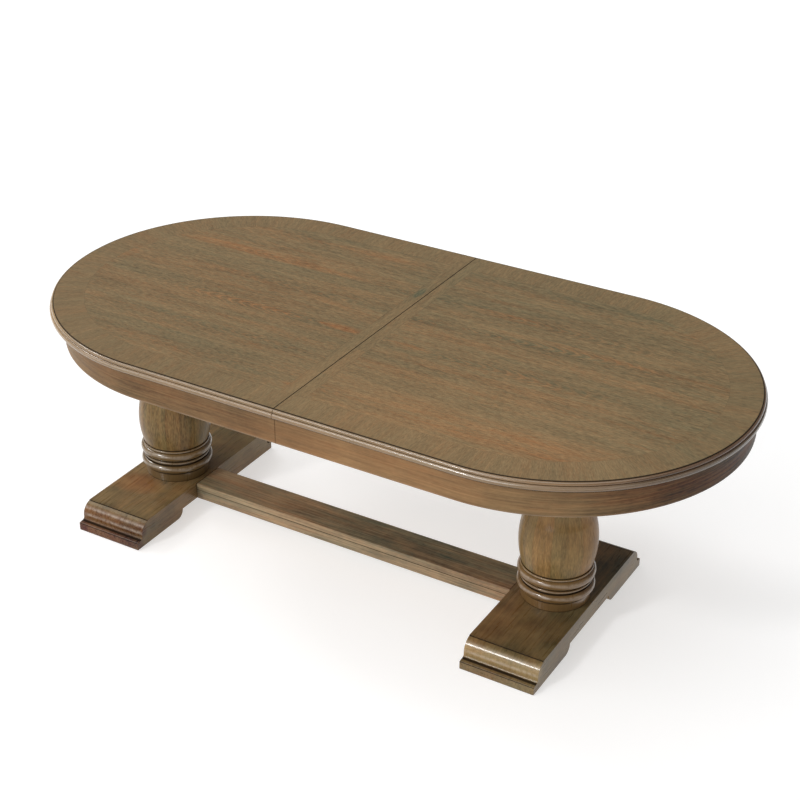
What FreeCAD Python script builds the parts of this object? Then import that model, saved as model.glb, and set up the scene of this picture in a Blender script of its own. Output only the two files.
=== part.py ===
"""Extending dining table with a racetrack top in two halves on a fixed trestle base.

Millimetres, +Z up. The origin is on the floor under the middle of the closed top.
+X runs along the table, and -Y is the front.
"""
import FreeCAD
import Part
import math
import os

V = FreeCAD.Vector
os.makedirs("parts", exist_ok=True)

# Whole table
table_height = 775.0
top_length = 2122.0
top_width = 1120.0
seam_gap = 0.6
seam_offset = 25.0
parked_offset = 122.0
travel_length = 255.0

# Top panel and its edge moulding
panel_thickness = 22.0
seam_arris = 0.8
edge_overhang = 12.0
moulding_height = 31.0
quirk_width = 1.5
quirk_depth = 2.2
upper_bead_width = 6.8
upper_bead_height = 9.8
upper_bead_swell = 2.0
groove_width = 5.4
groove_height = 11.2
lower_bead_height = 27.6
lower_bead_slope_height = 4.4

# Apron, its cross rail and its glue blocks
apron_inset = 3.0
left_end_inset = 33.0
right_end_inset = 8.0
apron_thickness = 20.0
apron_drop = 106.0
cross_rail_thickness = 22.0
cross_rail_height = 62.0
cross_rail_gap = 2.0
glue_block_size = 28.0
glue_block_length = 80.0
glue_block_place_shares = (0.18, 0.5, 0.82)

# Dovetailed wooden slides
slide_inset = 298.0
slide_width = 28.0
fixed_slide_height = 46.0
fixed_slide_top_gap = 6.0
housing_depth = 5.0
housing_fit_gap = 0.05
moving_slide_bottom_gap = 7.0
fixed_slide_overrun = 2.0
slide_end_gap = 42.0
moving_slide_inner_length = 200.0
crossing_relief_depth = 1.5
slide_side_gap = 0.5
slide_fit_gap = 0.3
dovetail_depth = 9.0
dovetail_neck_height = 12.0
dovetail_wide_height = 20.0

# Stop keys that end the travel
stop_key_size = 8.0
stop_key_inset = 20.0
stop_slot_depth = 3.0
stop_slot_gap = 0.4
stop_key_fit_gap = 0.05
stop_key_end_gap = 0.4

# Flat tongues across the seam
tongue_thickness = 6.0
tongue_width = 60.0
tongue_length = 32.0
tongue_proud = 12.0
tongue_fit_gap = 0.3
tongue_glue_gap = 0.05
tongue_end_gap = 2.0
tongue_place_shares = (-0.76, -0.24, 0.24, 0.76)

# Latches under the seam
latch_pivot_offset = 45.0
keeper_post_offset = 25.0
latch_plate_length = 50.0
latch_plate_width = 42.0
latch_plate_thickness = 2.0
latch_thickness = 4.0
latch_pin_radius = 4.0
latch_pin_gap = 0.1
latch_layer_gap = 0.3
latch_head_size = 14.0
latch_head_height = 1.6
latch_slot_gap = 0.6
latch_swing_gap = 1.8
latch_rim = 6.0
latch_corner = 5.0
latch_tab_drop = 14.0
keeper_post_size = 6.0
keeper_post_end_gap = 1.5

# Bearers on the columns
bearer_width = 100.0
bearer_height = 40.0
bearer_end_overhang = 70.0
bearer_end_height = 22.0
bearer_end_slope_length = 70.0

# Sled feet
column_end_inset = 395.0
foot_width = 226.0
foot_height = 81.0
foot_length = 714.0
foot_top_length = 606.0
foot_step_height = 2.2
shoulder_width = 31.0
shoulder_height = 38.0
shoulder_swell = 8.5
foot_neck_height = 7.0
foot_cove_radius = 8.0
ledge_fall = 1.5
plinth_ledge_width = 1.6
pad_length = 200.0
arch_height = 26.0

# Strips let into the pads
glide_length = 60.0
glide_width = 24.0
glide_thickness = 5.0
glide_proud = 1.5
glide_spacing = 150.0
glide_fit_gap = 0.05

# Stretcher and its tenons
stretcher_width = 114.0
stretcher_bottom = 27.8
stretcher_top = 80.0
stretcher_arris = 2.0
tenon_length = 45.0
tenon_width = 64.0
tenon_height = 28.0
tenon_fit_gap = 0.3

# Turned columns, from the foot up
collar_radius = 99.5
collar_height = 32.0
ring_swell = 12.0
ring_height = 27.0
middle_ridge_swell = 5.0
middle_ridge_height = 17.0
top_bead_swell = 5.0
top_bead_height = 8.0
vase_radius = 111.5
vase_taper_height = 40.0
vase_belly_height = 74.0
vase_shoulder_height = 80.0
neck_radius = 88.0
cap_radius = 95.0
cap_flare_height = 6.0
cap_height = 60.0

# Loose keys between column, foot and bearer
column_key_length = 40.0
column_key_width = 44.0
column_key_thickness = 18.0
column_key_spacing = 100.0
column_key_fit_gap = 0.05

# One overrun for every cut that runs through a face
cut_overrun = 5.0

# How many straight facets stand for each turned or moulded curve
bead_facets = 2
ring_facets = 4

# Places worked out from the sizes above
panel_bottom = table_height - panel_thickness
flat_half_length = top_length / 2 - edge_overhang
flat_half_width = top_width / 2 - edge_overhang
arc_centre_x = flat_half_length - flat_half_width
seam_x = -seam_offset
apron_bottom = table_height - apron_drop
apron_outer = flat_half_width - apron_inset
apron_inner = apron_outer - apron_thickness
fixed_slide_top = panel_bottom - fixed_slide_top_gap
fixed_slide_bottom = fixed_slide_top - fixed_slide_height
bearer_top = fixed_slide_bottom + housing_depth
bearer_bottom = bearer_top - bearer_height
slide_mid_z = (fixed_slide_top + fixed_slide_bottom) / 2
moving_slide_bottom = fixed_slide_bottom + moving_slide_bottom_gap
slide_step = slide_width + slide_side_gap
base_x = -parked_offset
foot_spacing = top_length - 2 * column_end_inset
fixed_half_length = foot_spacing / 2 + bearer_width / 2 + fixed_slide_overrun
cross_rail_x = fixed_half_length + parked_offset + cross_rail_gap
moving_slide_outer_x = cross_rail_x - slide_end_gap
stop_key_x = moving_slide_inner_length - stop_key_inset
foot_bottom = glide_proud
arch_top = foot_bottom + arch_height
foot_half_length = foot_length / 2
foot_top_half_length = foot_top_length / 2
arch_half_length = foot_half_length - pad_length
stretcher_half_length = foot_spacing / 2 - foot_width / 2
stretcher_mid_z = (stretcher_bottom + stretcher_top) / 2
column_height = bearer_bottom - foot_height
slide_y = flat_half_width - slide_inset
slide_outer_y = slide_y + slide_step + slide_width / 2
latch_y = (slide_outer_y + apron_inner) / 2
latch_top = panel_bottom - latch_plate_thickness - latch_layer_gap
latch_bottom = latch_top - latch_thickness


def box(x0, x1, y0, y1, z0, z1):
    return Part.makeBox(x1 - x0, y1 - y0, z1 - z0, V(x0, y0, z0))


def block(x, y, z, length, width, height, grow=0.0):
    """Box round its middle point, all its sides moved out by grow."""
    dx, dy, dz = length / 2 + grow, width / 2 + grow, height / 2 + grow
    return box(x - dx, x + dx, y - dy, y + dy, z - dz, z + dz)


def rod(radius, x, y, z0, z1):
    return Part.makeCylinder(radius, z1 - z0, V(x, y, z0))


def face_from(start, steps, place):
    """Closed face from a start point and steps: (end,) is a line and (through, end) an arc."""
    edges = []
    here = start
    for step in list(steps) + [(start,)]:
        end = step[-1]
        if len(step) == 2:
            edges.append(Part.Arc(place(*here), place(*step[0]), place(*end)).toShape())
        elif math.dist(here, end) > 0:
            edges.append(Part.LineSegment(place(*here), place(*end)).toShape())
        here = end
    return Part.Face(Part.Wire(edges))


def side_point(start, end, swell, share=0.5):
    """Point beside the line from start to end, swell away to the right of the way."""
    dx, dy = end[0] - start[0], end[1] - start[1]
    length = math.hypot(dx, dy)
    return (start[0] + dx * share + dy / length * swell, start[1] + dy * share - dx / length * swell)


def facets(start, end, swell, count):
    """Points on the arc from start to end that stands out by swell, as steps of straight facets."""
    length = math.dist(start, end)
    radius = (length ** 2 / 4 + swell ** 2) / (2 * abs(swell))
    half = math.asin(min(length / 2 / radius, 1))
    if abs(swell) > length / 2:
        half = math.pi - half
    side = math.copysign(1, swell)
    steps = []
    for k in range(1, count):
        angle = half * (2 * k / count - 1)
        share = 0.5 + radius * math.sin(angle) / length
        rise = radius * (math.cos(angle) - math.cos(half))
        steps.append((side_point(start, end, side * rise, share),))
    return steps + [(end,)]


def fused(shapes):
    whole = shapes[0]
    for shape in shapes[1:]:
        whole = whole.fuse(shape)
    return whole.removeSplitter()


def cut_all(shape, tools):
    for tool in tools:
        shape = shape.cut(tool)
    return shape


def in_y(shape):
    return shape.mirror(V(0, 0, 0), V(0, 1, 0))


def to_side(shape, side):
    """Pieces of the halves are drawn for the right; the left's are mirrored."""
    return shape if side > 0 else shape.mirror(V(0, 0, 0), V(1, 0, 0))


def save(name, shapes):
    whole = shapes if isinstance(shapes, Part.Shape) else Part.makeCompound(shapes)
    whole.exportStep("parts/" + name + ".step")


# Top: each half is drawn towards +X, so its seam lies at a different place on each side
def seam_edge(side):
    return side * seam_x + seam_gap / 2


def apron_centre_x(side):
    end_inset = right_end_inset if side > 0 else left_end_inset
    return flat_half_length - end_inset - apron_outer


def half_slab(side, centre_x, radius, z0, z1):
    """Half of the racetrack shape, whose end is a half circle round centre_x."""
    steps = [((centre_x, -radius),), ((centre_x + radius, 0), (centre_x, radius)),
             ((seam_edge(side), radius),)]
    outline = face_from((seam_edge(side), -radius), steps, lambda x, y: V(x, y, z0))
    return outline.extrude(V(0, 0, z1 - z0))


def top_panel(side):
    slab = half_slab(side, arc_centre_x, flat_half_width, panel_bottom, table_height)
    edge = seam_edge(side)
    steps = [((edge + seam_arris, table_height),), ((edge, table_height - seam_arris),)]
    arris = face_from((edge, table_height), steps, lambda x, z: V(x, -top_width, z))
    slots = [arris.extrude(V(0, 2 * top_width, 0))]
    slots += [tongue_slot(side, y) for y in tongue_places()]
    return cut_all(slab, slots)


def edge_section(centre_x, start, steps):
    """Section in (distance out from the flat outline, depth under the top)."""
    def place(out, depth):
        return V(centre_x, -out, table_height - depth)
    return face_from(start, steps, place)


def straight_run(side, centre_x, section):
    return section.extrude(V(seam_edge(side) - centre_x, 0, 0))


def round_end(centre_x, section):
    return section.revolve(V(centre_x, 0, 0), V(0, 0, 1), 180)


def edge_moulding(side):
    edge = flat_half_width
    bead_start = (edge + quirk_width, quirk_depth / 2)
    bead_end = (edge + upper_bead_width, upper_bead_height)
    groove = (edge + groove_width, groove_height)
    steps = [(bead_start,)]
    steps += facets(bead_start, bead_end, upper_bead_swell, bead_facets)
    steps += [(groove,)]
    steps += [((edge + edge_overhang, groove_height + lower_bead_slope_height),),
              ((edge + edge_overhang, lower_bead_height - lower_bead_slope_height),),
              ((edge + groove_width, lower_bead_height),), ((edge, moulding_height),)]
    section = edge_section(arc_centre_x, (edge, quirk_depth), steps)
    front = straight_run(side, arc_centre_x, section)
    return fused([front, round_end(arc_centre_x, section), in_y(front)])


def apron_section(side):
    steps = [((apron_outer, apron_drop),), ((apron_inner, apron_drop),), ((apron_inner, panel_thickness),)]
    return edge_section(apron_centre_x(side), (apron_outer, panel_thickness), steps)


def cross_rail(side):
    inside = half_slab(side, apron_centre_x(side), apron_inner, panel_bottom - cross_rail_height, panel_bottom)
    return inside.common(box(cross_rail_x, cross_rail_x + cross_rail_thickness,
                             -top_width, top_width, apron_bottom, panel_bottom))


def glue_blocks(side):
    size = glue_block_size
    corner = (-apron_inner, panel_bottom)
    steps = [((corner[0] + size, corner[1]),), ((corner[0], corner[1] - size),)]
    blocks = []
    for share in glue_block_place_shares:
        x = seam_edge(side) + (apron_centre_x(side) - seam_edge(side)) * share - glue_block_length / 2
        wedge = face_from(corner, steps, lambda y, z: V(x, y, z)).extrude(V(glue_block_length, 0, 0))
        blocks += [wedge, in_y(wedge)]
    return blocks


# Flat tongues, glued into the right half and sliding into the left one
def tongue_places():
    return [flat_half_width * share for share in tongue_place_shares]


def tongue(y, end_grow=0.0, grow=0.0):
    inner = seam_x - tongue_proud
    return box(inner - end_grow, inner + tongue_length, y - tongue_width / 2 - grow,
               y + tongue_width / 2 + grow, table_height - panel_thickness / 2 - tongue_thickness / 2 - grow,
               table_height - panel_thickness / 2 + tongue_thickness / 2 + grow)


def tongue_slot(side, y):
    if side < 0:
        return to_side(tongue(y, tongue_end_gap, tongue_fit_gap), side)
    return tongue(y, 0, tongue_glue_gap)


# Slides
def dovetail(y_face, sign, grow, x0, x1):
    """Tongue that stands out of a slide's face, or with grow the groove that takes it."""
    neck = dovetail_neck_height / 2 + grow
    wide = dovetail_wide_height / 2 + grow
    tip = y_face + sign * (dovetail_depth + min(grow, 0))
    root = y_face - sign * cut_overrun * (grow > 0)
    steps = [((y_face, slide_mid_z - neck),), ((tip, slide_mid_z - wide),),
             ((tip, slide_mid_z + wide),), ((y_face, slide_mid_z + neck),),
             ((root, slide_mid_z + neck),)]
    face = face_from((root, slide_mid_z - neck), steps, lambda y, z: V(x0, y, z))
    return face.extrude(V(x1 - x0, 0, 0))


def across(y_from, y_to, x, reach_x, reach_z):
    """Box between two faces, round a middle point on the slides' middle height."""
    return box(x - reach_x, x + reach_x, min(y_from, y_to), max(y_from, y_to),
               slide_mid_z - reach_z, slide_mid_z + reach_z)


def slide_sides(side, y_mid):
    """Y of the moving slide, the way to its fixed slide, and the fixed slide's face that it runs on."""
    outward = 1 if y_mid > 0 else -1
    y = y_mid + side * outward * slide_step
    toward = -side * outward
    return y, toward, y_mid - toward * slide_width / 2


def fixed_slide(y_mid):
    x0, x1 = base_x - fixed_half_length, base_x + fixed_half_length
    rail = box(x0, x1, y_mid - slide_width / 2, y_mid + slide_width / 2, fixed_slide_bottom, fixed_slide_top)
    cuts = []
    for side in (-1, 1):
        y, toward, face = slide_sides(side, y_mid)
        cuts.append(dovetail(face, toward, slide_fit_gap, x0 - cut_overrun, x1 + cut_overrun))
        cuts.append(across(face, face + toward * (dovetail_depth + stop_slot_depth),
                           base_x + side * stop_key_x,
                           travel_length + stop_key_size / 2 + stop_slot_gap,
                           stop_key_size / 2 + stop_slot_gap))
    return cut_all(rail, cuts)


def stop_key(side, y_mid, grow=0.0):
    y, toward, face = slide_sides(side, y_mid)
    end = face + toward * (dovetail_depth + stop_slot_depth - stop_key_end_gap)
    half = stop_key_size / 2 + grow
    return across(y - toward * grow, end, side * stop_key_x, half, half)


def moving_slide(side, y_mid):
    y, toward, face = slide_sides(side, y_mid)
    outer, inner = side * moving_slide_outer_x, -side * moving_slide_inner_length
    x0, x1 = min(outer, inner), max(outer, inner)
    bar = box(x0, x1, y - slide_width / 2, y + slide_width / 2, moving_slide_bottom, panel_bottom)
    own_face = y + toward * slide_width / 2
    neck = across(own_face, face, (x0 + x1) / 2, (x1 - x0) / 2, dovetail_neck_height / 2 - slide_fit_gap)
    tongue_bar = dovetail(face, toward, -slide_fit_gap, x0, x1)
    relief = box(*sorted((seam_x + side * cut_overrun, inner - side * cut_overrun)),
                 y - slide_width, y + slide_width, panel_bottom - crossing_relief_depth,
                 panel_bottom + cut_overrun)
    return cut_all(fused([bar, neck, tongue_bar]), [relief, stop_key(side, y_mid, stop_key_fit_gap)])


# Latches
def latch_plate(y):
    x = seam_x - latch_pivot_offset
    plate = block(x, y, panel_bottom - latch_plate_thickness / 2, latch_plate_length, latch_plate_width,
                  latch_plate_thickness)
    head_top = latch_bottom - latch_layer_gap
    pivot = rod(latch_pin_radius, x, y, head_top, panel_bottom - latch_plate_thickness)
    head = block(x, y, head_top - latch_head_height / 2, latch_head_size, latch_head_size, latch_head_height)
    return fused([plate, pivot, head])


def keeper(y):
    x = seam_x + keeper_post_offset
    plate = block(x, y, panel_bottom - latch_plate_thickness / 2, latch_plate_width, latch_plate_width,
                  latch_plate_thickness)
    post_bottom, post_top = latch_bottom - keeper_post_end_gap, panel_bottom - latch_plate_thickness
    post = block(x, y, (post_bottom + post_top) / 2, keeper_post_size, keeper_post_size, post_top - post_bottom)
    return fused([plate, post])


def latch_lever(y, inward):
    """Hook drawn closed, towards +X, then swung open to point inward."""
    reach = latch_pivot_offset + keeper_post_offset
    slot = keeper_post_size / 2 + latch_slot_gap
    half = slot + latch_rim
    tip = reach + half
    corner = latch_corner
    steps = [((-half + corner, -half),), ((reach - slot - latch_swing_gap, -half),), ((reach - slot, slot),),
             ((reach + slot, slot),), ((reach + slot, -half),), ((tip, -half),), ((tip, half - corner),),
             ((tip - corner, half),), ((-half + corner, half),), ((-half, half - corner),)]
    outline = face_from((-half, -half + corner), steps, lambda u, v: V(u, v, latch_bottom))
    arm = outline.extrude(V(0, 0, latch_thickness))
    tab = box(tip - latch_thickness, tip, -half, half - corner, latch_bottom - latch_tab_drop, latch_bottom)
    lever = fused([arm, tab]).cut(rod(latch_pin_radius + latch_pin_gap, 0, 0, latch_bottom, latch_top))
    if inward < 0:
        lever = in_y(lever)
    lever.rotate(V(0, 0, 0), V(0, 0, 1), inward * 90)
    lever.translate(V(seam_x - latch_pivot_offset, y, 0))
    return lever


# Base
def foot_end(sign):
    """Ogee of one end from the floor up to the top, sign is -1 in front and 1 behind."""
    def at(out, drop):
        return (sign * (foot_top_half_length + out), foot_height - drop)
    run = foot_half_length - foot_top_half_length
    shoulder = (shoulder_width, shoulder_height)
    neck = (shoulder_width, shoulder_height + foot_neck_height)
    cove = (neck[0] + foot_cove_radius, neck[1] + foot_cove_radius)
    ledge = (run - plinth_ledge_width, cove[1] + ledge_fall)
    plinth = (run, ledge[1] + plinth_ledge_width)
    cove_turn = foot_cove_radius * (1 - math.cos(math.radians(45)))
    over = side_point((0, foot_step_height), shoulder, shoulder_swell)
    return [(at(run, foot_height - foot_bottom),), (at(*plinth),), (at(*ledge),), (at(*cove),),
            (at(neck[0] + cove_turn, cove[1] - cove_turn), at(*neck)), (at(*shoulder),),
            (at(*over), at(0, foot_step_height)), (at(0, 0),)]


def backwards(steps):
    """The same outline run the other way, so each arc's end is the point before it."""
    ends = [step[-1] for step in steps]
    turned = [(ends[-1],)]
    for k in range(len(steps) - 1, 0, -1):
        turned.append(steps[k][:-1] + (ends[k - 1],))
    return turned


def foot(x):
    """Side view of the sled foot, run across its width."""
    front, back = foot_end(-1), foot_end(1)
    turn = arch_height * math.sin(math.radians(45))
    corner = arch_half_length - arch_height
    steps = front[1:] + backwards(back)
    steps += [((arch_half_length, foot_bottom),), ((corner + turn, foot_bottom + turn), (corner, arch_top)),
              ((-corner, arch_top),), ((-corner - turn, foot_bottom + turn), (-arch_half_length, foot_bottom))]
    face = face_from(front[0][0], steps, lambda y, z: V(x - foot_width / 2, y, z))
    body = face.extrude(V(foot_width, 0, 0))
    inward = 1 if x < base_x else -1
    inner = x + inward * foot_width / 2
    mortise = box(*sorted((inner + inward * cut_overrun, inner - inward * (tenon_length + tenon_fit_gap))),
                  -tenon_width / 2 - tenon_fit_gap, tenon_width / 2 + tenon_fit_gap,
                  stretcher_mid_z - tenon_height / 2 - tenon_fit_gap,
                  stretcher_mid_z + tenon_height / 2 + tenon_fit_gap)
    cuts = [mortise] + [glide(*place, glide_fit_gap) for place in glide_places(x)]
    cuts += [key for key in column_keys(x, foot_height, column_key_fit_gap)]
    return cut_all(body, cuts)


def glide_places(x):
    pad_y = foot_half_length - pad_length / 2
    return [(x + s * glide_spacing / 2, t * pad_y) for s in (-1, 1) for t in (-1, 1)]


def glide(x, y, grow=0.0):
    return block(x, y, glide_thickness / 2, glide_width, glide_length, glide_thickness, grow)


def column_keys(x, z, grow=0.0):
    return [block(x, s * column_key_spacing / 2, z, column_key_thickness, column_key_width,
                  column_key_length, grow) for s in (-1, 1)]


def stretcher():
    half, arris = stretcher_width / 2, stretcher_arris
    x0, x1 = base_x - stretcher_half_length, base_x + stretcher_half_length
    steps = [((half - arris, stretcher_bottom),), ((half, stretcher_bottom + arris),),
             ((half, stretcher_top - arris),), ((half - arris, stretcher_top),),
             ((-half + arris, stretcher_top),), ((-half, stretcher_top - arris),),
             ((-half, stretcher_bottom + arris),)]
    section = face_from((-half + arris, stretcher_bottom), steps, lambda y, z: V(x0, y, z))
    board = section.extrude(V(x1 - x0, 0, 0))
    tenons = block(base_x, 0, stretcher_mid_z, 2 * (stretcher_half_length + tenon_length),
                   tenon_width, tenon_height)
    return fused([board, tenons])


def column(x):
    """Turned profile in (radius, height over the foot) from the foot up."""
    here = (collar_radius, 0)
    steps = [(here,)]

    def line(radius, rise):
        nonlocal here
        here = (radius, here[1] + rise)
        steps.append((here,))

    def bead(rise, swell, count):
        nonlocal here, steps
        end = (here[0], here[1] + rise)
        steps += facets(here, end, swell, count)
        here = end
    line(collar_radius, collar_height)
    bead(ring_height, ring_swell, ring_facets)
    bead(middle_ridge_height, middle_ridge_swell, bead_facets)
    bead(ring_height, ring_swell, ring_facets)
    bead(top_bead_height, top_bead_swell, bead_facets)
    line(vase_radius, vase_taper_height)
    line(vase_radius, vase_belly_height)
    line(neck_radius, vase_shoulder_height)
    line(neck_radius, column_height - cap_height - cap_flare_height - here[1])
    line(cap_radius, cap_flare_height)
    line(cap_radius, cap_height)
    steps.append(((0, column_height),))
    face = face_from((0, 0), steps, lambda r, h: V(x + r, 0, foot_height + h))
    body = face.revolve(V(x, 0, 0), V(0, 0, 1), 360)
    keys = column_keys(x, foot_height, column_key_fit_gap) + column_keys(x, bearer_bottom, column_key_fit_gap)
    return cut_all(body, keys)


def bearer(x):
    half = slide_y + bearer_end_overhang
    steps = [((half, bearer_top),), ((half, bearer_top - bearer_end_height),),
             ((half - bearer_end_slope_length, bearer_bottom),),
             ((-half + bearer_end_slope_length, bearer_bottom),),
             ((-half, bearer_top - bearer_end_height),)]
    section = face_from((-half, bearer_top), steps, lambda y, z: V(x - bearer_width / 2, y, z))
    housings = [box(x - bearer_width, x + bearer_width, y - slide_width / 2 - housing_fit_gap,
                    y + slide_width / 2 + housing_fit_gap, fixed_slide_bottom, bearer_top + cut_overrun)
                for y in slide_places.values()]
    return cut_all(section.extrude(V(bearer_width, 0, 0)),
                   housings + column_keys(x, bearer_bottom, column_key_fit_gap))


foot_places = {"left": base_x - foot_spacing / 2, "right": base_x + foot_spacing / 2}
slide_places = {"front": -slide_y, "back": slide_y}
sides = {"left": -1, "right": 1}

# Base pieces
for name, x in foot_places.items():
    save(name + "_foot", foot(x))
    save(name + "_column", column(x))
    save(name + "_bearer", bearer(x))
save("stretcher", stretcher())
save("foot_glides", [glide(*place) for x in foot_places.values() for place in glide_places(x)])
save("column_keys", [key for x in foot_places.values() for z in (foot_height, bearer_bottom)
                     for key in column_keys(x, z)])
for name, y in slide_places.items():
    save(name + "_fixed_slide", fixed_slide(y))

# Pieces of the two halves
for name, side in sides.items():
    apron = apron_section(side)
    straight_apron = straight_run(side, apron_centre_x(side), apron)
    save(name + "_top_panel", to_side(top_panel(side), side))
    save(name + "_edge_moulding", to_side(edge_moulding(side), side))
    save(name + "_front_apron", to_side(straight_apron, side))
    save(name + "_back_apron", to_side(in_y(straight_apron), side))
    save(name + "_end_apron", to_side(round_end(apron_centre_x(side), apron), side))
    save(name + "_cross_rail", to_side(cross_rail(side), side))
    save(name + "_glue_blocks", [to_side(wedge, side) for wedge in glue_blocks(side)])
    for row, y in slide_places.items():
        save(name + "_" + row + "_slide", moving_slide(side, y))
    save(name + "_stop_keys", [stop_key(side, y) for y in slide_places.values()])
save("seam_tongues", [tongue(y) for y in tongue_places()])
save("latch_plates", [latch_plate(y) for y in (-latch_y, latch_y)])
save("latch_keepers", [keeper(y) for y in (-latch_y, latch_y)])
save("front_latch", latch_lever(-latch_y, 1))
save("back_latch", latch_lever(latch_y, -1))
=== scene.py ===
import math

import bpy
from bpy.props import FloatProperty, FloatVectorProperty, IntProperty, PointerProperty
from mathutils import Matrix, Vector


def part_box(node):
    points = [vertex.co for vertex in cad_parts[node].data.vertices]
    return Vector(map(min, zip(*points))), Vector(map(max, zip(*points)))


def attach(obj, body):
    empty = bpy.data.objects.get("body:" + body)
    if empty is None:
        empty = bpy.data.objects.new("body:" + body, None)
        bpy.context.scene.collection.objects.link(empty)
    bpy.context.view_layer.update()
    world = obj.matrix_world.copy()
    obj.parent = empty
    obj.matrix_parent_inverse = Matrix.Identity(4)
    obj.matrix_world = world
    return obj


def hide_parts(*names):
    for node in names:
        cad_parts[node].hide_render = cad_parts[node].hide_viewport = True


bl_info = {
    "name": "Extending Dining Table",
    "version": (1, 0, 0),
    "blender": (4, 5, 0),
    "location": "3D View > Sidebar > Dining Table",
    "description": "Dresses an extending dining table with turned, moulded and veneered wood",
    "category": "Add Mesh",
}

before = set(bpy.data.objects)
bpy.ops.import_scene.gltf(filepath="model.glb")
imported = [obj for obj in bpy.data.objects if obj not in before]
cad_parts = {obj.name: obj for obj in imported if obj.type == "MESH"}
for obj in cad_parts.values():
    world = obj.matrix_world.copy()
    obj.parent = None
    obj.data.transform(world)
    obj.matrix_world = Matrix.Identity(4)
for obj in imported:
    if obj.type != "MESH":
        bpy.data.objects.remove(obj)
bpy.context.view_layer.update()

MM = 0.001
SIDES = {"left": -1, "right": 1}

# Sections and side views, in millimetres
MOULDING_DEPTH = 31.0
APRON_THICKNESS = 20.0
APRON_ARRIS = 1.5
FOOT_END = 54.0
FOOT_HEIGHT = 81.0
PAD_LENGTH = 200.0
ARCH_HEIGHT = 26.0

# The stretcher: width of a dark line, share of the height above its joint, stations and arris
JOINT_LINE = 2.2 * MM
BOARD_SHARE = 0.4
STRETCHER_STEPS = 40
STRETCHER_ARRIS = 2.0 * MM

# How near the seam a station counts as its joint
SEAM_REACH = 0.7 * MM

# Steps along each straight side, and the share of one step that lies beside the seam
STRAIGHT_STEPS = 12
BESIDE_SEAM = 0.02

# Distance between stations of a foot, and steps of a rounded arris
FOOT_STEP = 0.02
ARRIS_STEPS = 3

# Radius at which a column's grain is laid out flat, and the share of the turn where its back lies
GRAIN_RADIUS = 0.106
BACK_OF_TURN = 0.25

# Screws and bolts: their places on what they hold
PLATE_THICKNESS = 2.0 * MM
PLATE_SCREW_INSET = 6.0 * MM
PLATE_SCREW_FAR_INSET = 36.0 * MM
BEARER_SCREW_PLACE = 0.235
BEARER_SCREW_SPREAD = 12.0 * MM
COLUMN_BOLT_PLACE = 50.0 * MM

# Radius of each head and how far it stands proud
PLATE_SCREW = (3.4 * MM, 0.12 * MM)
BEARER_SCREW = (5.0 * MM, 0.5 * MM)
COLUMN_BOLT = (10.0 * MM, 2.0 * MM)

# A screw head from its rim inwards, as shares of its radius and of how far it stands proud
HEAD_PROFILE = ((1.0, 0.0), (0.94, 0.7), (0.72, 1.0), (0.55, 1.0), (0.40, 1.0), (0.16, 1.0))
HEAD_STEPS = 24
CROSS_REACH = 0.6
CROSS_FALL = 0.15

LACQUER_ROUGHNESS = 0.16
# rubbed wood: the pale of worn crests, also used as a painted highlight
RUBBED_AND_HIGHLIT_WOOD = (0.46, 0.39, 0.31)

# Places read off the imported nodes, so that the pieces stay on the frame
PANEL_LOW, PANEL_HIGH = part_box("right_top_panel")
FLAT_HALF_WIDTH = PANEL_HIGH[1]
ROUND_CENTRE = PANEL_HIGH[0] - FLAT_HALF_WIDTH
TOP = PANEL_HIGH[2]
SEAM = (PANEL_LOW[0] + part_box("left_top_panel")[1][0]) / 2


def measure(name, description, default, **limits):
    """One measure in metres that the panel shows."""
    return FloatProperty(name=name, description=description, default=default, subtype="DISTANCE",
                         unit="LENGTH", **limits)


def tint(name, description, default):
    """One colour that the panel shows."""
    return FloatVectorProperty(name=name, description=description, subtype="COLOR", default=default,
                               min=0, max=1)


class TableSizes(bpy.types.PropertyGroup):
    """Sizes that the frame leaves to the finish"""
    turning_steps: IntProperty(name="Turning steps", description="Faces round a turned column",
                               default=128, min=24, max=256)
    bend_steps: IntProperty(name="Bend steps", description="Faces round each end of the top",
                            default=112, min=16, max=256)
    arris: measure("Arris", "Rounding of the sawn edges", 1.4 * MM, min=0.2 * MM, max=6 * MM)
    bead_width: measure("Upper bead", "How far the upper bead stands out of the flat", 6.8 * MM)
    border_width: measure("Border", "Width of the crossbanded border", 88 * MM)
    seam_band: measure("Seam band", "Width of the band beside the seam", 38 * MM)
    stave_width: measure("Stave", "Width of the staves a column is glued up from", 44 * MM)


class TableColours(bpy.types.PropertyGroup):
    """Stain, glazing and painted shade, metal and floor colours"""
    top: tint("Top", "Stain of the veneered top", (0.200, 0.135, 0.065))
    edge: tint("Edge", "Stain of the moulding and the aprons", (0.182, 0.108, 0.048))
    column: tint("Column", "Stain of the turned columns", (0.192, 0.118, 0.045))
    foot: tint("Foot", "Stain of the sled feet", (0.170, 0.112, 0.048))
    stretcher: tint("Stretcher", "Stain of the stretcher", (0.238, 0.166, 0.092))
    # the dark glazing colour also paints shade in creases, quirks, gaps and under the moulding
    glaze_and_shade: tint("Glaze", "Dark glaze left in quirks and pores", (0.016, 0.010, 0.006))
    bare: tint("Bare wood", "Waxed, unstained wood under the top", (0.42, 0.27, 0.14))
    zinc: tint("Zinc", "Zinc-plated steel of the latches", (0.55, 0.56, 0.55))
    nylon: tint("Nylon", "Strips under the pads", (0.020, 0.019, 0.018))
    floor: tint("Floor", "Pale studio floor", (0.58, 0.58, 0.58))


def sizes():
    return bpy.context.scene.table_sizes


def colours():
    return bpy.context.scene.table_colours


def shaded(colour, share):
    """Colour made darker or paler."""
    return tuple(c * share for c in colour)


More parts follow.
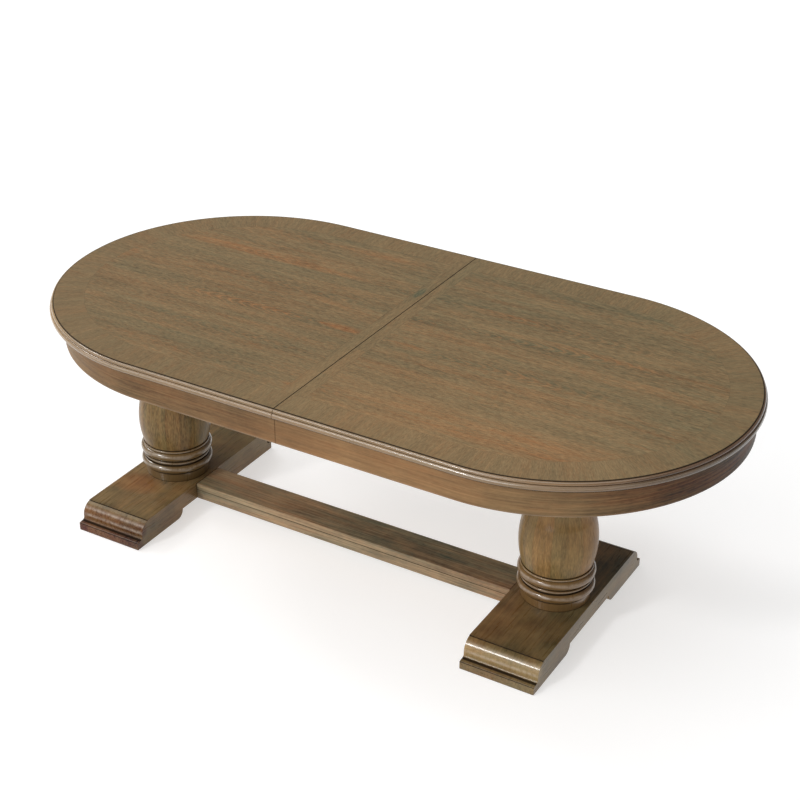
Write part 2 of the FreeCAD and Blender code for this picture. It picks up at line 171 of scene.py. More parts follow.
# Node graphs, written as sums
class Wire:
    """One value or vector in a material, which adds and multiplies like a number."""

    def __init__(self, graph, socket):
        self.graph = graph
        self.socket = socket

    def op(self, operation, *others):
        node = self.graph.nodes.new("ShaderNodeMath")
        node.operation = operation
        for slot, value in zip(node.inputs, (self,) + others):
            self.graph.feed(slot, value)
        return Wire(self.graph, node.outputs[0])

    def __add__(self, other):
        return self.op("ADD", other)

    def __sub__(self, other):
        return self.op("SUBTRACT", other)

    def __mul__(self, other):
        return self.op("MULTIPLY", other)

    def __truediv__(self, other):
        return self.op("DIVIDE", other)

    def __rsub__(self, other):
        return (self * -1.0).op("ADD", other)

    def __abs__(self):
        return self.op("ABSOLUTE")

    def above(self, limit):
        """One where the value passes the limit, else nought."""
        return self.op("GREATER_THAN", limit)

    def ramp(self, low, high, to_low=0.0, to_high=1.0):
        """Maps low..high softly to to_low..to_high and holds the ends."""
        node = self.graph.nodes.new("ShaderNodeMapRange")
        node.interpolation_type = "SMOOTHSTEP"
        for slot, value in zip(node.inputs, (self, low, high, to_low, to_high)):
            self.graph.feed(slot, value)
        return Wire(self.graph, node.outputs[0])


class Graph:
    """The nodes of one material."""

    def __init__(self, name):
        self.material = bpy.data.materials.new(name)
        self.material.use_nodes = True
        self.tree = self.material.node_tree
        self.nodes = self.tree.nodes
        self.shader = self.nodes["Principled BSDF"]

    def feed(self, slot, value):
        if isinstance(value, Wire):
            self.tree.links.new(value.socket, slot)
        else:
            slot.default_value = value

    def place(self):
        """Position in the piece's own frame, which is the frame of the whole table at rest."""
        return Wire(self, self.nodes.new("ShaderNodeTexCoord").outputs["Object"])

    def attribute(self, name, vector=False):
        """Value or vector stored on the mesh."""
        node = self.nodes.new("ShaderNodeAttribute")
        node.attribute_name = name
        return Wire(self, node.outputs["Vector" if vector else "Fac"])

    def split(self, vector):
        node = self.nodes.new("ShaderNodeSeparateXYZ")
        self.feed(node.inputs[0], vector)
        return [Wire(self, out) for out in node.outputs]

    def joined(self, x, y, z=0.0):
        node = self.nodes.new("ShaderNodeCombineXYZ")
        for slot, value in zip(node.inputs, (x, y, z)):
            self.feed(slot, value)
        return Wire(self, node.outputs[0])

    def noise(self, vector, detail=3.0, roughness=0.55, scale=1.0):
        node = self.nodes.new("ShaderNodeTexNoise")
        settings = (("Vector", vector), ("Scale", scale), ("Detail", detail), ("Roughness", roughness))
        for name, value in settings:
            self.feed(node.inputs[name], value)
        return Wire(self, node.outputs["Fac"])

    def speckle(self, vector):
        """One random value for each whole-numbered cell."""
        node = self.nodes.new("ShaderNodeTexWhiteNoise")
        node.noise_dimensions = "3D"
        self.feed(node.inputs["Vector"], vector)
        return Wire(self, node.outputs["Value"])

    def blend(self, amount, first, second):
        """Colour between first and second."""
        node = self.nodes.new("ShaderNodeMix")
        node.data_type = "RGBA"
        self.feed(node.inputs[0], amount)
        for slot, value in ((node.inputs[6], first), (node.inputs[7], second)):
            self.feed(slot, value if isinstance(value, Wire) else (*value, 1.0))
        return Wire(self, node.outputs[2])

    def choose(self, amount, first, second):
        """Plain number between first and second."""
        node = self.nodes.new("ShaderNodeMix")
        for slot, value in ((node.inputs[0], amount), (node.inputs[2], first), (node.inputs[3], second)):
            self.feed(slot, value)
        return Wire(self, node.outputs[0])

    def dent(self, height, strength, depth):
        """Bump from a height, depth in metres."""
        node = self.nodes.new("ShaderNodeBump")
        for name, value in (("Strength", strength), ("Distance", depth), ("Height", height)):
            self.feed(node.inputs[name], value)
        self.tree.links.new(node.outputs["Normal"], self.shader.inputs["Normal"])

    def tinted(self, base, tone, warmth):
        """Colour round a base: tone makes it lighter, warmth redder."""
        lift = tone + 1.0
        node = self.nodes.new("ShaderNodeCombineColor")
        for slot, value in zip(node.inputs, ((lift + warmth) * base[0], lift * base[1],
                                             (lift - warmth * 0.45) * base[2])):
            self.feed(slot, value)
        return Wire(self, node.outputs[0])

    def finish(self, colour, roughness, lacquer=0.0, sheen=0.30):
        """Feeds the surface: lacquer is a clear coat, sheen the wood's own gloss."""
        inputs = self.shader.inputs
        self.feed(inputs["Base Color"], colour)
        self.feed(inputs["Roughness"], roughness)
        self.feed(inputs["Specular IOR Level"], sheen)
        self.feed(inputs["Coat Weight"], lacquer)
        inputs["Coat Roughness"].default_value = LACQUER_ROUGHNESS
        return self.material


def grain_fields(graph, along, across, depth, speckled=1.0):
    """Tone, warmth, fine lines and pores of stained open-pored wood; tone and warmth lie about zero."""
    def streak(run, cross, shift, detail=2.0):
        spot = graph.joined(along * run + shift, across * cross, depth * cross + shift)
        return graph.noise(spot, detail) - 0.5
    fleck = streak(60.0, 300.0, 0.0)
    hair = streak(9.0, 95.0, 3.3, 3.0)
    lines = streak(5.0, 230.0, 21.7)
    tone = fleck * (1.35 * speckled) + lines * (1.5 - 1.5 * speckled) + hair * 0.62
    tone = tone + streak(1.7, 15.0, 6.1, 3.0) * 0.44
    warmth = streak(60.0, 260.0, 9.7) * (0.56 * speckled) + streak(5.0, 60.0, 12.9) * 0.34
    warmth = warmth + streak(1.3, 13.0, 15.2, 3.0) * 0.62
    return tone, (warmth * 0.55).op("MAXIMUM", warmth), hair, fleck.ramp(-0.05, -0.2)


# Places where the hand-wiped stain is uneven, and places where shade and highlights are painted: middle,
# reach, tone and warmth
APRON_PATCHES = (
    ((-0.35, -0.54, 0.70), (0.45, 0.12, 0.12), -0.30, 0.06),
    ((0.25, -0.54, 0.70), (0.40, 0.12, 0.12), 0.08, 0.10),
    # right end: painted shade, darker where the end faces away from the light
    ((1.04, -0.05, 0.71), (0.42, 0.52, 0.20), -0.74, 0.05),
    ((-1.0, -0.10, 0.70), (0.12, 0.30, 0.12), -0.05, -0.06),
)
MOULDING_PATCHES = (
    # right end: painted shade
    ((1.04, -0.05, 0.76), (0.42, 0.52, 0.20), -0.58, 0.05),
    # left end: painted highlight
    ((-0.95, -0.25, 0.76), (0.35, 0.35, 0.12), 0.85, -0.12),
    ((0.0, -0.56, 0.76), (0.9, 0.15, 0.1), 0.12, -0.02),
)
FOOT_PATCHES = (
    ((-0.788, -0.335, 0.055), (0.40, 0.030, 0.030), -0.50, 0.26),
    ((-0.788, -0.357, 0.008), (0.40, 0.030, 0.034), -0.72, 0.26),
    # right foot's front ogee: painted highlight
    ((0.544, -0.336, 0.055), (0.40, 0.028, 0.030), 0.60, -0.04),
    # right foot's top: painted shade under the table top
    ((0.544, -0.20, 0.081), (0.16, 0.25, 0.02), -0.14, 0.0),
    ((-0.83, -0.15, 0.081), (0.09, 0.06, 0.03), 0.02, 0.28),
    ((0.50, -0.20, 0.081), (0.10, 0.12, 0.03), 0.04, 0.08),
    # right foot's back top: painted shade under the table top
    ((0.544, 0.24, 0.081), (0.16, 0.22, 0.03), -0.34, 0.04),
)
COLUMN_PATCHES = (
    ((-0.788, 0.0, 0.25), (0.25, 0.25, 0.40), -0.22, 0.0),
    ((0.544, 0.0, 0.25), (0.25, 0.25, 0.40), 0.12, 0.05),
    # low on both columns, by the rings: painted shade near the feet
    ((-0.788, 0.0, 0.12), (0.25, 0.25, 0.09), -0.16, 0.0),
    ((0.544, 0.0, 0.12), (0.25, 0.25, 0.10), -0.36, 0.04),
)
STRETCHER_PATCHES = (
    ((0.15, 0.0, 0.082), (0.45, 0.12, 0.016), -0.22, -0.10),
    ((-0.55, -0.05, 0.08), (0.30, 0.12, 0.05), 0.05, -0.08),
)


def uneven_stain_and_painted_light(graph, patches, sway):
    """Tone and warmth added by the patches, whose borders are moved by sway."""
    x, y, z = graph.split(graph.place())
    tone = warmth = 0.0
    for middle, reach, lighter, warmer in patches:
        steps = [(axis - at) / span for axis, at, span in zip((x, y, z), middle, reach)]
        far = steps[0] * steps[0] + steps[1] * steps[1] + steps[2] * steps[2] + sway
        near = far.ramp(1.3, 0.1)
        tone = near * lighter + tone
        warmth = near * warmer + warmth
    return tone, warmth


def rubbed_highlight_and_glazed_shade(graph, body, glaze_and_shade, scuff):
    """Pale where the edge is rubbed and a highlight is painted, dark where glazing has stayed and shade is
    painted.
    """
    # crests are paled by rubbed wear and by a painted highlight
    worn_and_highlit = (glaze_and_shade * -1.0).ramp(0.1, 1.0) * scuff.ramp(-0.12, 0.12, 0.35, 1.0)
    body = graph.blend(worn_and_highlit * 0.46, body, RUBBED_AND_HIGHLIT_WOOD)
    return graph.blend(glaze_and_shade.ramp(0.05, 0.85) * 0.94, body, colours().glaze_and_shade)


def mottling(graph):
    """Soft uneven patches of hand-wiped stain."""
    place = graph.place()
    return graph.noise(place, 3.0, 0.6, 13.0) - 0.5, graph.noise(place, 3.0, 0.6, 7.0) - 0.5


def plain_wood(name, base, patches=(), rough=0.42, lacquer=0.0, contrast=1.0, sheen=0.30, mottled=0.3):
    """Stained wood whose pieces carry their own grain direction, glazing and painted shade."""
    graph = Graph(name)
    along, across, depth = graph.split(graph.attribute("grain", vector=True))
    tone, warmth, hair, pores = grain_fields(graph, along, across, depth, 0.35)
    patch_tone, patch_warmth = uneven_stain_and_painted_light(graph, patches, warmth * 1.2)
    cloud, blush = mottling(graph)
    tone = tone * contrast + cloud * mottled + patch_tone
    body = graph.tinted(base, tone, warmth * contrast + blush * (mottled * 0.32) + patch_warmth)
    glaze_and_shade = graph.attribute("glaze_and_shade")
    body = rubbed_highlight_and_glazed_shade(graph, body, glaze_and_shade, hair)
    shine = glaze_and_shade.ramp(0.1, 0.8, 1.0, 0.1)
    graph.dent(hair * 0.5 - pores * 0.4, 0.2, 0.2 * MM)
    # crests that hands and cloths reach are burnished
    polish = (glaze_and_shade * -1.0).ramp(0.1, 0.8, 1.0, 2.4)
    roughness = hair.ramp(-0.2, 0.2, rough - 0.04, rough + 0.06)
    return graph.finish(body, roughness, shine * polish * lacquer, shine * sheen)


def stave_wood(name, base, patches):
    """Column wood: staves of differing brown, calmer where rings are turned, with glazing and painted shade
    in the creases.
    """
    graph = Graph(name)
    along, across, depth = graph.split(graph.attribute("grain", vector=True))
    place = across / sizes().stave_width
    luck = graph.speckle(graph.joined(place.op("FLOOR"), 3.0, 1.0))
    other = graph.speckle(graph.joined(place.op("FLOOR"), 8.0, 5.0))
    tone, warmth, hair, pores = grain_fields(graph, along + luck * 3.0, across, depth + luck, 0.8)
    patch_tone, patch_warmth = uneven_stain_and_painted_light(graph, patches, 0.0)
    cloud, blush = mottling(graph)
    joint = abs(place.op("FRACT") - 0.5).ramp(0.46, 0.5)
    calm = graph.split(graph.place())[2].ramp(0.185, 0.20, 0.22, 1.0)
    tone = (tone * 1.25 + cloud * 0.8 + (other - 0.5) * 0.24 - joint * 0.20) * calm + patch_tone
    warmth = (warmth * 0.55 + blush * 0.4 + (luck - 0.5) * 0.22) * calm + patch_warmth
    glaze_and_shade = graph.attribute("glaze_and_shade")
    body = rubbed_highlight_and_glazed_shade(graph, graph.tinted(base, tone, warmth), glaze_and_shade, hair)
    shine = glaze_and_shade.ramp(0.1, 0.8, 1.0, 0.1)
    graph.dent(hair * 0.5 - pores * 0.4, 0.16, 0.2 * MM)
    # the rings are polished and the shaft above them is nearly matt
    lacquer = shine * calm.ramp(0.22, 1.0, 0.75, 0.05)
    sheen = shine * calm.ramp(0.22, 1.0, 0.42, 0.16)
    return graph.finish(body, hair.ramp(-0.2, 0.2, 0.27, 0.35), lacquer, sheen)


# Middle of each leaf of veneer across the table, from the front
LEAF_CENTRES = (-0.400, -0.247, -0.072, 0.090, 0.232, 0.405)

# For each leaf from the front: eye of the figure, its slope and how clearly it shows
LEAVES = {
    "left": ((-0.06, 0.0, 0.30), (-0.10, 0.0, 0.50), (-0.11, 0.0, 1.0), (-0.06, 0.02, 0.50),
             (-0.20, 0.0, 0.50), (-0.15, 0.0, 0.35)),
    "right": ((0.30, 0.0, 0.30), (0.10, 0.0, 0.25), (0.095, 0.0, 0.70), (0.12, 0.08, 0.90),
              (0.11, 0.0, 0.60), (0.20, 0.0, 0.20)),
}

# Warm flames in the veneer: middle, half length and half width, strength
FLAMES = (
    ((-0.55, 0.232), (0.42, 0.030), 0.85), ((-0.27, 0.405), (0.22, 0.030), 0.60),
    ((0.25, 0.232), (0.22, 0.022), 0.55), ((0.47, 0.140), (0.35, 0.022), 0.50),
    ((-0.12, -0.070), (0.10, 0.020), 0.90), ((0.09, -0.070), (0.09, 0.018), 0.80),
    ((-0.45, -0.075), (0.25, 0.024), 0.60), ((0.45, -0.075), (0.12, 0.020), 0.50),
    ((0.36, -0.390), (0.50, 0.110), 0.45), ((-0.99, 0.05), (0.075, 0.40), 0.45),
    ((0.845, -0.255), (0.07, 0.014), 0.80), ((-0.85, -0.250), (0.06, 0.016), 0.50),
    ((-0.50, -0.400), (0.22, 0.030), 0.40), ((-0.25, 0.060), (0.12, 0.020), 0.45),
    ((-0.06, -0.420), (0.03, 0.012), 0.70), ((0.80, 0.400), (0.10, 0.05), 0.35),
)

TOP_PATCHES = (
    ((0.35, -0.36, 0.77), (0.55, 0.24, 0.1), 0.10, 0.04),
    ((0.98, 0.05, 0.77), (0.25, 0.45, 0.1), -0.08, -0.04),
    ((0.35, 0.36, 0.77), (0.55, 0.22, 0.1), -0.06, -0.03),
    ((-0.048, 0.24, 0.77), (0.012, 0.042, 0.1), -0.22, -0.16),
)


def stepped(place, edges, values):
    """Number that changes from one leaf to the next."""
    total = values[0]
    for edge, before, after in zip(edges, values, values[1:]):
        total = place.above(edge) * (after - before) + total
    return total


def veneer():
    """Table top: leaves of crown-cut veneer, bands beside the seam and a crossbanded border."""
    graph = Graph("table_top_veneer")
    size, colour = sizes(), colours()
    x, y, z = graph.split(graph.place())
    # how far out the place lies, and how far round
    beyond = (abs(x) - ROUND_CENTRE).op("MAXIMUM", 0.0)
    out = (beyond * beyond + y * y).op("SQRT")
    turn = y.op("ARCTAN2", beyond + 0.0001)
    round_way = graph.choose(beyond.above(0.0), x, turn * FLAT_HALF_WIDTH + ROUND_CENTRE)
    border_start = FLAT_HALF_WIDTH - size.border_width
    border = out.above(border_start)
    band = abs(x - SEAM).op("LESS_THAN", size.seam_band)
    cross = border.op("MAXIMUM", band)
    in_field = 1.0 - cross
    # crown-cut figure: nested loops round an eye near the seam
    edges = [(a + b) / 2 for a, b in zip(LEAF_CENTRES, LEAF_CENTRES[1:])]
    middle = stepped(y, edges, LEAF_CENTRES)
    right = x.above(SEAM)
    eye, slope, clear = [graph.choose(right, stepped(y, edges, left), stepped(y, edges, other))
                         for left, other in zip(zip(*LEAVES["left"]), zip(*LEAVES["right"]))]
    number = stepped(y, edges, (0.0, 1.0, 2.0, 3.0, 4.0, 5.0)) + right * 11.0
    sway = graph.noise(graph.joined(x * 2.6, y * 9.0, number * 3.1), detail=3.0, roughness=0.6) - 0.5
    ripple = graph.noise(graph.joined(x * 26.0, y * 60.0, number), detail=2.0) - 0.5
    from_eye = x - eye
    side_way = y - middle - from_eye * slope + sway * 0.05 + ripple * 0.005
    long_way = from_eye * 0.125 + sway * 0.006
    loop = (side_way * side_way + long_way * long_way).op("SQRT")
    ring = (loop / 0.0048 + sway * 1.5).op("FRACT")
    figure = ring.ramp(0.05, 0.45) * ring.ramp(1.0, 0.85)
    heart = abs(side_way).ramp(0.040, 0.008) * abs(from_eye).ramp(0.75, 0.35) * clear
    heart = heart * in_field
    # fine lines and pores run along the leaf, along the band or out to the edge
    along = graph.choose(border, graph.choose(band, x, y), out)
    across = graph.choose(border, graph.choose(band, y, x), round_way)
    tone, warmth, hair, pores = grain_fields(graph, along, across, number * 0.037 + cross * 0.9)
    warm = 0.0
    for (fx, fy), (half_long, half_wide), strength in FLAMES:
        run, rise = (x - fx) / half_long, (y - fy + sway * 0.03) / half_wide
        warm = ((run * run + rise * rise).ramp(1.0, 0.0) * strength).op("MAXIMUM", warm)
    cloud = graph.noise(graph.joined(x * 3.0, y * 40.0, 4.0), detail=3.0)
    flames = warm * cloud.ramp(0.35, 0.62, 0.25, 1.0) * (in_field * 0.8 + 0.2)
    patch_tone, patch_warmth = uneven_stain_and_painted_light(graph, TOP_PATCHES, 0.0)
    tone = tone * (in_field * 0.25 + 0.75) - figure * heart * 0.20 + flames * 0.03 + patch_tone
    warmth = warmth * (in_field * 0.4 + 0.6) + flames * 0.40 + (0.5 - figure) * heart * 0.22 + patch_warmth
    body = graph.tinted(colour.top, tone, warmth)
    # joints between leaves, round the border and beside the seam; painted shade in the quirk round the rim
    # of the flat and in the gap at the seam
    hairline = (1.2 * MM, 0.2 * MM)
    round_border = abs(out - border_start).ramp(*hairline)
    beside_seam = abs(abs(x - SEAM) - size.seam_band).ramp(*hairline) * (1.0 - border)
    joint = (round_border * 0.16).op("MAXIMUM", beside_seam * 0.22)
    rim = out.ramp(FLAT_HALF_WIDTH - 0.0022, FLAT_HALF_WIDTH - 0.0004)
    seam_line = abs(x - SEAM).ramp(0.0022, 0.0008)
    body = graph.blend(joint.op("MAXIMUM", rim.op("MAXIMUM", seam_line) * 0.88), body, colour.glaze_and_shade)
    under = z.op("LESS_THAN", TOP - 0.004)
    body = graph.blend(under * out.op("LESS_THAN", FLAT_HALF_WIDTH - 0.001), body, colour.bare)
    graph.dent(hair * 0.4 - pores * 0.6, 0.28, 0.2 * MM)
    return graph.finish(body, hair.ramp(-0.2, 0.2, 0.40, 0.50))


def bare_wood(name, axis):
    """Waxed, unstained wood under the top, grain along one axis."""
    graph = Graph(name)
    x, y, z = graph.split(graph.place())
    along, across, depth = {"x": (x, y, z), "y": (y, x, z), "z": (z, x, y)}[axis]
    bands = graph.noise(graph.joined(along * 1.2, across * 55.0, depth * 55.0), detail=3.0)
    lines = graph.noise(graph.joined(along * 8.0, across * 260.0, depth * 260.0), detail=4.0)
    flecks = graph.noise(graph.joined(along * 60.0, across * 700.0, depth * 700.0), detail=1.0)
    tone = colours().bare
    body = graph.blend(bands.ramp(0.3, 0.7), tone, shaded(tone, 0.72))
    body = graph.blend(lines.ramp(0.52, 0.78) * 0.5, body, shaded(tone, 0.45))
    body = graph.blend(flecks.ramp(0.66, 0.78) * 0.5, body, shaded(tone, 0.35))
    graph.dent(lines, 0.3, 0.2 * MM)
    return graph.finish(body, lines.ramp(0.2, 0.8, 0.50, 0.66))


def zinc_steel():
    """Plated steel with a faint spangle and brush marks."""
    graph = Graph("zinc_plated_steel")
    place = graph.place()
    spangle = graph.noise(place, scale=900.0, detail=2.0)
    brushed = graph.noise(graph.joined(*[c * s for c, s in zip(graph.split(place), (2500.0, 60.0, 60.0))]))
    stain = graph.noise(place, scale=60.0, detail=3.0)
    tone = colours().zinc
    body = graph.blend(spangle.ramp(0.3, 0.7), tone, shaded(tone, 0.80))
    body = graph.blend(stain.ramp(0.55, 0.8) * 0.35, body, shaded(tone, 0.5))
    graph.shader.inputs["Metallic"].default_value = 1.0
    graph.dent(brushed, 0.15, 0.05 * MM)
    return graph.finish(body, brushed.ramp(0.2, 0.8, 0.30, 0.48))


def nylon():
    """Dark strips, scuffed by the floor."""
    graph = Graph("nylon_glide")
    place = graph.place()
    grain = graph.noise(place, scale=1400.0, detail=2.0)
    scuff = graph.noise(place, scale=90.0, detail=4.0)
    tone = colours().nylon
    body = graph.blend(scuff.ramp(0.5, 0.8) * 0.5, tone, shaded(tone, 3.0))
    graph.dent(grain, 0.25, 0.05 * MM)
    return graph.finish(body, scuff.ramp(0.3, 0.7, 0.55, 0.75))


# Meshes
def piece(name, verts, faces, material, body, nodes, slot, grain=None, glaze_and_shade=None, sharp=35.0, arris=None,
          ends_only=0):
    """Mesh piece that stands for CAD nodes, with its grain direction, glazing and painted shade at every
    corner.
    """
    mesh = bpy.data.meshes.new(name)
    mesh.from_pydata(verts, [], faces)
    mesh.validate()
    mesh.update()
    layer = mesh.attributes.new("grain", "FLOAT_VECTOR", "POINT")
    values = grain if grain is not None else verts
    layer.data.foreach_set("vector", [c for v in values for c in v])
    layer = mesh.attributes.new("glaze_and_shade", "FLOAT", "CORNER")
    # faces with more than four corners are sawn ends, which stay free of glazing and painted shade
    sawn_end = 4 if glaze_and_shade is not None else -1
    values = [0.0 if face.loop_total > sawn_end else glaze_and_shade[mesh.loops[k].vertex_index]
              for face in mesh.polygons for k in face.loop_indices]
    layer.data.foreach_set("value", values)
    mesh.shade_smooth()
    mesh.set_sharp_from_angle(angle=math.radians(sharp))
    made = bpy.data.objects.new(name, mesh)
    bpy.context.scene.collection.objects.link(made)
    mesh.materials.append(material)
    if ends_only:
        last = len(verts) - ends_only
        edges = [float(max(e.vertices) < ends_only or min(e.vertices) >= last) for e in mesh.edges]
        mesh.attributes.new("bevel_weight_edge", "FLOAT", "EDGE").data.foreach_set("value", edges)
    if arris:
        bevel = made.modifiers.new("rounded arrises", "BEVEL")
        bevel.width = arris
        bevel.segments = ARRIS_STEPS
        bevel.limit_method = "WEIGHT" if ends_only else "ANGLE"
        bevel.angle_limit = math.radians(sharp)
        bevel.use_clamp_overlap = True
        weigh = made.modifiers.new("flat faces stay flat", "WEIGHTED_NORMAL")
        weigh.keep_sharp = False
        weigh.weight = 100
    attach(made, body)
    if nodes:
        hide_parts(*nodes)
    return made


def sleeve(rows, count, turned_over=False):
    """Faces between rows of count corners each, which close on themselves, and then both ends."""
    faces = []
    for low in range(0, (rows - 1) * count, count):
        for j in range(count):
            k = (j + 1) % count
            faces.append((low + j, low + k, low + count + k, low + count + j))
    faces.append(tuple(range(count))[::-1])
    faces.append(tuple(range((rows - 1) * count, rows * count)))
    return [face[::-1] for face in faces] if turned_over else faces


def arc_points(start, end, swell, step):
    """Points after start on the arc to end that stands out by swell, to the right of the way."""
    length = math.dist(start, end)
    radius = (length ** 2 / 4 + swell ** 2) / (2 * abs(swell))
    half = math.asin(min(length / 2 / radius, 1.0))
    if abs(swell) > length / 2:
        half = math.pi - half
    count = max(3, math.ceil(2 * half * radius / step))
    dx, dy = (end[0] - start[0]) / length, (end[1] - start[1]) / length
    side = math.copysign(1, swell)
    points = []
    for k in range(1, count + 1):
        angle = half * (2 * k / count - 1)
        along = length / 2 + radius * math.sin(angle)
        rise = side * radius * (math.cos(angle) - math.cos(half))
        points.append((start[0] + dx * along + dy * rise, start[1] + dy * along - dx * rise))
    return points


class Outline:
    """Section drawn in millimetres step by step, with glazing and painted shade where two forms meet."""

    def __init__(self, start):
        self.points = [start]
        self.creases = []

    def line(self, x, y, step=3.0):
        here = self.points[-1]
        count = max(1, math.ceil(math.dist(here, (x, y)) / step))
        for k in range(1, count + 1):
            self.points.append((here[0] + (x - here[0]) * k / count, here[1] + (y - here[1]) * k / count))
        return self

    def arc(self, x, y, swell, step=1.0):
        self.points += arc_points(self.points[-1], (x, y), swell, step)
        return self

    def crease(self, reach, strength):
        """Marks the last point as a place that keeps glazing and painted shade."""
        self.creases.append((*self.points[-1], reach, strength))
        return self

    def shade(self, x, y, reach, strength):
        """Marks a place beside the last form where shade is painted."""
        self.creases.append((x, y, reach, strength))
        return self

    def rubbed_and_highlit_crest(self, x, y, reach):
        """Marks a place that rubbing has made paler, with a painted highlight."""
        self.creases.append((x, y, reach, -0.8))
        return self

    def glaze_and_shade(self):
        """Glazing and painted shade at each point: 1 is dark, below nought is rubbed pale with a painted
        highlight.
        """
        values = []
        for point in self.points:
            value = sum(strength * max(0.0, 1 - math.dist(point, (x, y)) / reach)
                        for x, y, reach, strength in self.creases)
            values.append(max(-1.0, min(1.0, value)))
        return values


# Edge of the top and the aprons: sections run round each half
def half_path(side, centre, steps, parts):
    """Stations round one half as (point on the axis, outward way, length run) with the parts wanted."""
    seam = SEAM + side * (PANEL_LOW[0] - SEAM)
    run = side * (centre * side - seam)
    stations = []
    if "front" in parts:
        for k in (0, BESIDE_SEAM, *range(1, STRAIGHT_STEPS + 1)):
            share = k / STRAIGHT_STEPS
            stations.append(((seam + (centre * side - seam) * share, 0.0), (0.0, -1.0), run * side * share))
    if "end" in parts:
        start = 1 if "front" in parts else 0
        for k in range(start, steps + 1):
            angle = -math.pi / 2 + math.pi * k / steps
            stations.append(((centre * side, 0.0), (side * math.cos(angle), math.sin(angle)),
                             run * side + FLAT_HALF_WIDTH * math.pi * k / steps))
    if "back" in parts:
        start = 1 if "end" in parts else 0
        for k in (*range(start, STRAIGHT_STEPS), STRAIGHT_STEPS - BESIDE_SEAM, STRAIGHT_STEPS):
            share = k / STRAIGHT_STEPS
            stations.append(((centre * side + (seam - centre * side) * share, 0.0), (0.0, 1.0),
                             run * side * (1 + share) + FLAT_HALF_WIDTH * math.pi))
    return stations


def run_section(name, stations, outline, base_radius, material, body, node, side, **more):
    """Sweeps a closed section (out, depth under the top, millimetres) along the stations."""
    section = outline.points
    glaze_and_shade_row = outline.glaze_and_shade()
    travelled = [0.0]
    for a, b in zip(section, section[1:]):
        travelled.append(travelled[-1] + math.dist(a, b) * MM)
    verts, grain, glaze_and_shade = [], [], []
    for (cx, cy), (nx, ny), length in stations:
        # stations at the seam are painted dark: painted shade in the gap between the halves
        at_seam = abs(cx - SEAM) < SEAM_REACH
        for (out, depth), way, dark in zip(section, travelled, glaze_and_shade_row):
            reach = base_radius + out * MM
            verts.append((cx + nx * reach, cy + ny * reach, TOP - depth * MM))
            grain.append((length * side, way, 0.013 * out))
            glaze_and_shade.append(1.0 if at_seam else dark)
    faces = sleeve(len(stations), len(section), turned_over=side < 0)
    return piece(name, verts, faces, material, body, [node], "edge_wood", grain, glaze_and_shade, **more)


def moulding_outline():
    """Quirk, upper bead, groove, large lower bead and the small hollow under it."""
    bead = sizes().bead_width / MM
    draw = Outline((0.0, MOULDING_DEPTH))
    # creases keep glazing and painted shade in the quirk, the groove and under the lower bead
    draw.line(0.0, 2.2, 8.0).crease(2.4, 1.5)
    draw.line(1.5, 1.9)
    draw.arc(bead, 9.8, 2.5, 0.8)
    draw.line(5.4, 11.0).crease(2.2, 0.8)
    draw.arc(5.6, 27.4, 6.5, 1.2).crease(4.5, 1.6)
    draw.arc(1.5, MOULDING_DEPTH, -1.2, 1.0).crease(3.0, 1.5)
    # crests: rubbed wear with a painted highlight on both beads; shade is painted on the lower flank of the
    # lower bead
    draw.rubbed_and_highlit_crest(4.8, 3.9, 3.0).rubbed_and_highlit_crest(11.0, 15.0, 4.5).shade(8.8, 25.8, 4.0, 1.3)
    return draw


def apron_outline(top, bottom):
    """Board between two depths, its lower edges rounded, glazing and painted shade kept under the
    moulding's overhang, and its lower outer arris paled by wear and a painted highlight.
    """
    thickness, arris = APRON_THICKNESS, APRON_ARRIS
    draw = Outline((-thickness, top))
    # glazing and painted shade along the top of the face, under the moulding's overhang
    draw.line(0.0, top, 6.0).crease(13.0, 1.5)
    draw.line(0.0, top + 20.0, 2.0)
    draw.line(0.0, bottom - arris, 7.0)
    draw.arc(-arris, bottom, 0.29 * arris, 0.4).rubbed_and_highlit_crest(-arris * 0.3, bottom - arris * 0.3, 3.0)
    draw.line(-thickness + arris, bottom, 6.0)
    draw.arc(-thickness, bottom - arris, 0.29 * arris, 0.4)
    draw.line(-thickness, top, 8.0)
    draw.points.pop()
    return draw


# Turned columns
def column_outline(height):
    """Profile in (radius, height over the foot)."""
    draw = Outline((0.0, 0.0))
    # creases keep glazing and painted shade where collar, rings, beads and shaft meet
    draw.line(99.0, 0.0, 25.0).crease(2.6, 1.4)
    draw.line(101.2, 29.5, 3.0).arc(100.2, 31.0, 0.3)
    draw.line(99.3, 32.0, 1.0).crease(6.5, 1.7)
    draw.arc(99.3, 58.5, 12.3, 1.0).crease(4.5, 1.6)
    draw.line(99.5, 64.5, 1.5)
    draw.crease(2.2, 1.4).arc(99.5, 71.5, 5.0, 0.7)
    draw.line(99.3, 76.0, 1.5).crease(6.0, 1.7)
    draw.arc(99.3, 102.8, 12.3, 1.0).crease(3.0, 1.5)
    draw.line(99.6, 104.0, 1.0)
    draw.arc(99.8, 111.0, 5.0, 0.7).crease(3.6, 1.6)
    draw.line(101.0, 112.2, 1.0)
    draw.arc(101.0, 266.0, 11.3, 4.0)
    draw.arc(88.0, 318.0, -2.5, 4.0)
    top_of_neck = height - 66.0
    draw.line(88.0, top_of_neck, 12.0).crease(3.0, 1.4)
    draw.arc(95.0, height - 60.0, 1.6, 0.8)
    draw.line(95.0, height, 10.0)
    draw.line(0.0, height, 25.0)
    # crests: rubbed wear with a painted highlight on the rings and beads
    draw.rubbed_and_highlit_crest(109.5, 51.0, 6.0).rubbed_and_highlit_crest(109.5, 95.0, 6.0).rubbed_and_highlit_crest(104.6, 68.0, 2.5).rubbed_and_highlit_crest(104.8, 107.5, 2.5)
    return draw


